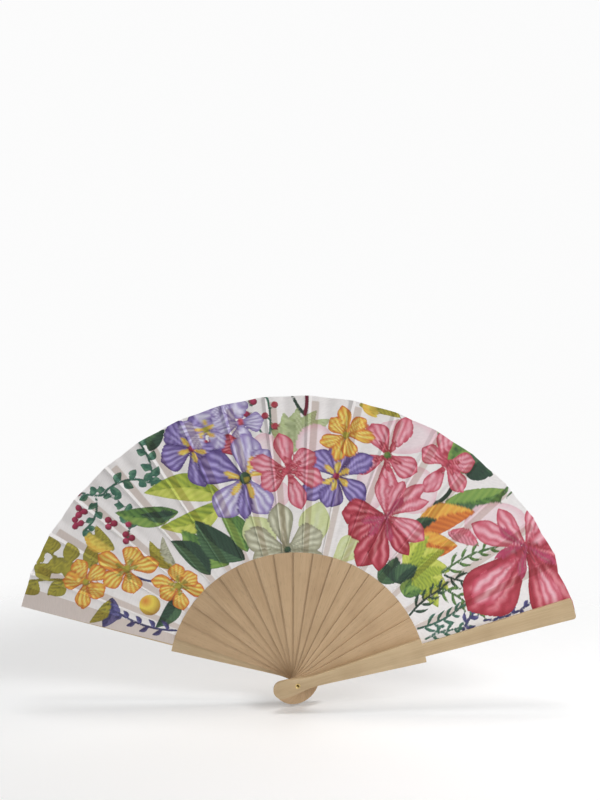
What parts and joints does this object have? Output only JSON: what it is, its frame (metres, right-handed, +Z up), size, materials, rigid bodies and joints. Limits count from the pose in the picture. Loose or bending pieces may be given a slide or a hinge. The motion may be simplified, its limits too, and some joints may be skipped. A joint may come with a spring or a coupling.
{
  "type": "hand fan",
  "caption": "Folding hand fan with wooden ribs and guards turning on one hollow rivet, and a pleated printed cloth leaf.",
  "frame": {"origin": "on the rivet's axis, at the rear face of the front guard's upper part", "axes": "+Z up, +X to the viewer's right, -Y out of the printed front, +Y along the rivet to the rear; the opened fan stands in the XZ plane"},
  "size_m": [0.4203, 0.0244, 0.2347],
  "materials": {
    "rib_wood": "fine sanded light wood, unvarnished",
    "guard_wood": "smooth sanded light wood with a long grain",
    "leaf_cloth": "thin plain-woven cloth, white with a printed flower pattern",
    "brass": "bright, slightly worn"
  },
  "bodies": {
    "front_stick": {"front_guard": "guard_wood", "rivet": "brass", "washer": "brass", "leaf_face_00": "leaf_cloth"},
    "rear_stick": {"rear_guard": "guard_wood", "leaf_face_17": "leaf_cloth"},
    "stick_01": {"rib_01": "rib_wood", "leaf_face_01": "leaf_cloth"},
    "stick_02": {"rib_02": "rib_wood", "leaf_face_02": "leaf_cloth"},
    "stick_03": {"rib_03": "rib_wood", "leaf_face_03": "leaf_cloth"},
    "stick_04": {"rib_04": "rib_wood", "leaf_face_04": "leaf_cloth"},
    "stick_05": {"rib_05": "rib_wood", "leaf_face_05": "leaf_cloth"},
    "stick_06": {"rib_06": "rib_wood", "leaf_face_06": "leaf_cloth"},
    "stick_07": {"rib_07": "rib_wood", "leaf_face_07": "leaf_cloth"},
    "stick_08": {"rib_08": "rib_wood", "leaf_face_08": "leaf_cloth"},
    "stick_09": {"rib_09": "rib_wood", "leaf_face_09": "leaf_cloth"},
    "stick_10": {"rib_10": "rib_wood", "leaf_face_10": "leaf_cloth"},
    "stick_11": {"rib_11": "rib_wood", "leaf_face_11": "leaf_cloth"},
    "stick_12": {"rib_12": "rib_wood", "leaf_face_12": "leaf_cloth"},
    "stick_13": {"rib_13": "rib_wood", "leaf_face_13": "leaf_cloth"},
    "stick_14": {"rib_14": "rib_wood", "leaf_face_14": "leaf_cloth"},
    "stick_15": {"rib_15": "rib_wood", "leaf_face_15": "leaf_cloth"},
    "stick_16": {"rib_16": "rib_wood", "leaf_face_16": "leaf_cloth"},
    "pleat_00": {"leaf_pleat_00": "leaf_cloth"},
    "pleat_01": {"leaf_pleat_01": "leaf_cloth"},
    "pleat_02": {"leaf_pleat_02": "leaf_cloth"},
    "pleat_03": {"leaf_pleat_03": "leaf_cloth"},
    "pleat_04": {"leaf_pleat_04": "leaf_cloth"},
    "pleat_05": {"leaf_pleat_05": "leaf_cloth"},
    "pleat_06": {"leaf_pleat_06": "leaf_cloth"},
    "pleat_07": {"leaf_pleat_07": "leaf_cloth"},
    "pleat_08": {"leaf_pleat_08": "leaf_cloth"},
    "pleat_09": {"leaf_pleat_09": "leaf_cloth"},
    "pleat_10": {"leaf_pleat_10": "leaf_cloth"},
    "pleat_11": {"leaf_pleat_11": "leaf_cloth"},
    "pleat_12": {"leaf_pleat_12": "leaf_cloth"},
    "pleat_13": {"leaf_pleat_13": "leaf_cloth"},
    "pleat_14": {"leaf_pleat_14": "leaf_cloth"},
    "pleat_15": {"leaf_pleat_15": "leaf_cloth"},
    "pleat_16": {"leaf_pleat_16": "leaf_cloth"}
  },
  "joints": [
    {"name": "open_close", "type": "hinge", "parent": "front_stick", "child": "rear_stick", "pos_m": [0, 0, 0], "axis": [0, 1, 0], "range_deg": [0, 147.55]},
    {"name": "stick_01_turn", "type": "hinge", "parent": "front_stick", "child": "stick_01", "pos_m": [0, 0, 0], "axis": [0, 1, 0], "range_deg": [0, 10.05]},
    {"name": "stick_02_turn", "type": "hinge", "parent": "front_stick", "child": "stick_02", "pos_m": [0, 0, 0], "axis": [0, 1, 0], "range_deg": [0, 18.8]},
    {"name": "stick_03_turn", "type": "hinge", "parent": "front_stick", "child": "stick_03", "pos_m": [0, 0, 0], "axis": [0, 1, 0], "range_deg": [0, 27.55]},
    {"name": "stick_04_turn", "type": "hinge", "parent": "front_stick", "child": "stick_04", "pos_m": [0, 0, 0], "axis": [0, 1, 0], "range_deg": [0, 36.3]},
    {"name": "stick_05_turn", "type": "hinge", "parent": "front_stick", "child": "stick_05", "pos_m": [0, 0, 0], "axis": [0, 1, 0], "range_deg": [0, 45.05]},
    {"name": "stick_06_turn", "type": "hinge", "parent": "front_stick", "child": "stick_06", "pos_m": [0, 0, 0], "axis": [0, 1, 0], "range_deg": [0, 53.8]},
    {"name": "stick_07_turn", "type": "hinge", "parent": "front_stick", "child": "stick_07", "pos_m": [0, 0, 0], "axis": [0, 1, 0], "range_deg": [0, 62.55]},
    {"name": "stick_08_turn", "type": "hinge", "parent": "front_stick", "child": "stick_08", "pos_m": [0, 0, 0], "axis": [0, 1, 0], "range_deg": [0, 71.3]},
    {"name": "stick_09_turn", "type": "hinge", "parent": "front_stick", "child": "stick_09", "pos_m": [0, 0, 0], "axis": [0, 1, 0], "range_deg": [0, 80.05]},
    {"name": "stick_10_turn", "type": "hinge", "parent": "front_stick", "child": "stick_10", "pos_m": [0, 0, 0], "axis": [0, 1, 0], "range_deg": [0, 88.8]},
    {"name": "stick_11_turn", "type": "hinge", "parent": "front_stick", "child": "stick_11", "pos_m": [0, 0, 0], "axis": [0, 1, 0], "range_deg": [0, 97.55]},
    {"name": "stick_12_turn", "type": "hinge", "parent": "front_stick", "child": "stick_12", "pos_m": [0, 0, 0], "axis": [0, 1, 0], "range_deg": [0, 106.3]},
    {"name": "stick_13_turn", "type": "hinge", "parent": "front_stick", "child": "stick_13", "pos_m": [0, 0, 0], "axis": [0, 1, 0], "range_deg": [0, 115.05]},
    {"name": "stick_14_turn", "type": "hinge", "parent": "front_stick", "child": "stick_14", "pos_m": [0, 0, 0], "axis": [0, 1, 0], "range_deg": [0, 123.8]},
    {"name": "stick_15_turn", "type": "hinge", "parent": "front_stick", "child": "stick_15", "pos_m": [0, 0, 0], "axis": [0, 1, 0], "range_deg": [0, 132.55]},
    {"name": "stick_16_turn", "type": "hinge", "parent": "front_stick", "child": "stick_16", "pos_m": [0, 0, 0], "axis": [0, 1, 0], "range_deg": [0, 141.3]},
    {"name": "pleat_00_turn", "type": "hinge", "parent": "front_stick", "child": "pleat_00", "pos_m": [0, 0, 0], "axis": [0, 1, 0], "range_deg": [0, 5.05]},
    {"name": "pleat_01_turn", "type": "hinge", "parent": "front_stick", "child": "pleat_01", "pos_m": [0, 0, 0], "axis": [0, 1, 0], "range_deg": [0, 14.43]},
    {"name": "pleat_02_turn", "type": "hinge", "parent": "front_stick", "child": "pleat_02", "pos_m": [0, 0, 0], "axis": [0, 1, 0], "range_deg": [0, 23.18]},
    {"name": "pleat_03_turn", "type": "hinge", "parent": "front_stick", "child": "pleat_03", "pos_m": [0, 0, 0], "axis": [0, 1, 0], "range_deg": [0, 31.93]},
    {"name": "pleat_04_turn", "type": "hinge", "parent": "front_stick", "child": "pleat_04", "pos_m": [0, 0, 0], "axis": [0, 1, 0], "range_deg": [0, 40.67]},
    {"name": "pleat_05_turn", "type": "hinge", "parent": "front_stick", "child": "pleat_05", "pos_m": [0, 0, 0], "axis": [0, 1, 0], "range_deg": [0, 49.42]},
    {"name": "pleat_06_turn", "type": "hinge", "parent": "front_stick", "child": "pleat_06", "pos_m": [0, 0, 0], "axis": [0, 1, 0], "range_deg": [0, 58.17]},
    {"name": "pleat_07_turn", "type": "hinge", "parent": "front_stick", "child": "pleat_07", "pos_m": [0, 0, 0], "axis": [0, 1, 0], "range_deg": [0, 66.92]},
    {"name": "pleat_08_turn", "type": "hinge", "parent": "front_stick", "child": "pleat_08", "pos_m": [0, 0, 0], "axis": [0, 1, 0], "range_deg": [0, 75.67]},
    {"name": "pleat_09_turn", "type": "hinge", "parent": "front_stick", "child": "pleat_09", "pos_m": [0, 0, 0], "axis": [0, 1, 0], "range_deg": [0, 84.42]},
    {"name": "pleat_10_turn", "type": "hinge", "parent": "front_stick", "child": "pleat_10", "pos_m": [0, 0, 0], "axis": [0, 1, 0], "range_deg": [0, 93.18]},
    {"name": "pleat_11_turn", "type": "hinge", "parent": "front_stick", "child": "pleat_11", "pos_m": [0, 0, 0], "axis": [0, 1, 0], "range_deg": [0, 101.92]},
    {"name": "pleat_12_turn", "type": "hinge", "parent": "front_stick", "child": "pleat_12", "pos_m": [0, 0, 0], "axis": [0, 1, 0], "range_deg": [0, 110.67]},
    {"name": "pleat_13_turn", "type": "hinge", "parent": "front_stick", "child": "pleat_13", "pos_m": [0, 0, 0], "axis": [0, 1, 0], "range_deg": [0, 119.42]},
    {"name": "pleat_14_turn", "type": "hinge", "parent": "front_stick", "child": "pleat_14", "pos_m": [0, 0, 0], "axis": [0, 1, 0], "range_deg": [0, 128.18]},
    {"name": "pleat_15_turn", "type": "hinge", "parent": "front_stick", "child": "pleat_15", "pos_m": [0, 0, 0], "axis": [0, 1, 0], "range_deg": [0, 136.93]},
    {"name": "pleat_16_turn", "type": "hinge", "parent": "front_stick", "child": "pleat_16", "pos_m": [0, 0, 0], "axis": [0, 1, 0], "range_deg": [0, 144.45]}
  ],
  "couplings": [
    {"joint": "stick_01_turn", "follows": "open_close", "ratio": 0.067774},
    {"joint": "stick_02_turn", "follows": "open_close", "ratio": 0.12708},
    {"joint": "stick_03_turn", "follows": "open_close", "ratio": 0.18638},
    {"joint": "stick_04_turn", "follows": "open_close", "ratio": 0.24568},
    {"joint": "stick_05_turn", "follows": "open_close", "ratio": 0.30498},
    {"joint": "stick_06_turn", "follows": "open_close", "ratio": 0.36428},
    {"joint": "stick_07_turn", "follows": "open_close", "ratio": 0.42358},
    {"joint": "stick_08_turn", "follows": "open_close", "ratio": 0.48289},
    {"joint": "stick_09_turn", "follows": "open_close", "ratio": 0.54219},
    {"joint": "stick_10_turn", "follows": "open_close", "ratio": 0.60149},
    {"joint": "stick_11_turn", "follows": "open_close", "ratio": 0.66079},
    {"joint": "stick_12_turn", "follows": "open_close", "ratio": 0.7201},
    {"joint": "stick_13_turn", "follows": "open_close", "ratio": 0.7794},
    {"joint": "stick_14_turn", "follows": "open_close", "ratio": 0.8387},
    {"joint": "stick_15_turn", "follows": "open_close", "ratio": 0.898},
    {"joint": "stick_16_turn", "follows": "open_close", "ratio": 0.9573},
    {"joint": "pleat_00_turn", "follows": "open_close", "ratio": 0.033887},
    {"joint": "pleat_01_turn", "follows": "open_close", "ratio": 0.097425},
    {"joint": "pleat_02_turn", "follows": "open_close", "ratio": 0.15673},
    {"joint": "pleat_03_turn", "follows": "open_close", "ratio": 0.21603},
    {"joint": "pleat_04_turn", "follows": "open_close", "ratio": 0.27533},
    {"joint": "pleat_05_turn", "follows": "open_close", "ratio": 0.33463},
    {"joint": "pleat_06_turn", "follows": "open_close", "ratio": 0.39393},
    {"joint": "pleat_07_turn", "follows": "open_close", "ratio": 0.45324},
    {"joint": "pleat_08_turn", "follows": "open_close", "ratio": 0.51254},
    {"joint": "pleat_09_turn", "follows": "open_close", "ratio": 0.57184},
    {"joint": "pleat_10_turn", "follows": "open_close", "ratio": 0.63114},
    {"joint": "pleat_11_turn", "follows": "open_close", "ratio": 0.69044},
    {"joint": "pleat_12_turn", "follows": "open_close", "ratio": 0.74975},
    {"joint": "pleat_13_turn", "follows": "open_close", "ratio": 0.80905},
    {"joint": "pleat_14_turn", "follows": "open_close", "ratio": 0.86835},
    {"joint": "pleat_15_turn", "follows": "open_close", "ratio": 0.92765},
    {"joint": "pleat_16_turn", "follows": "open_close", "ratio": 0.97865}
  ]
}
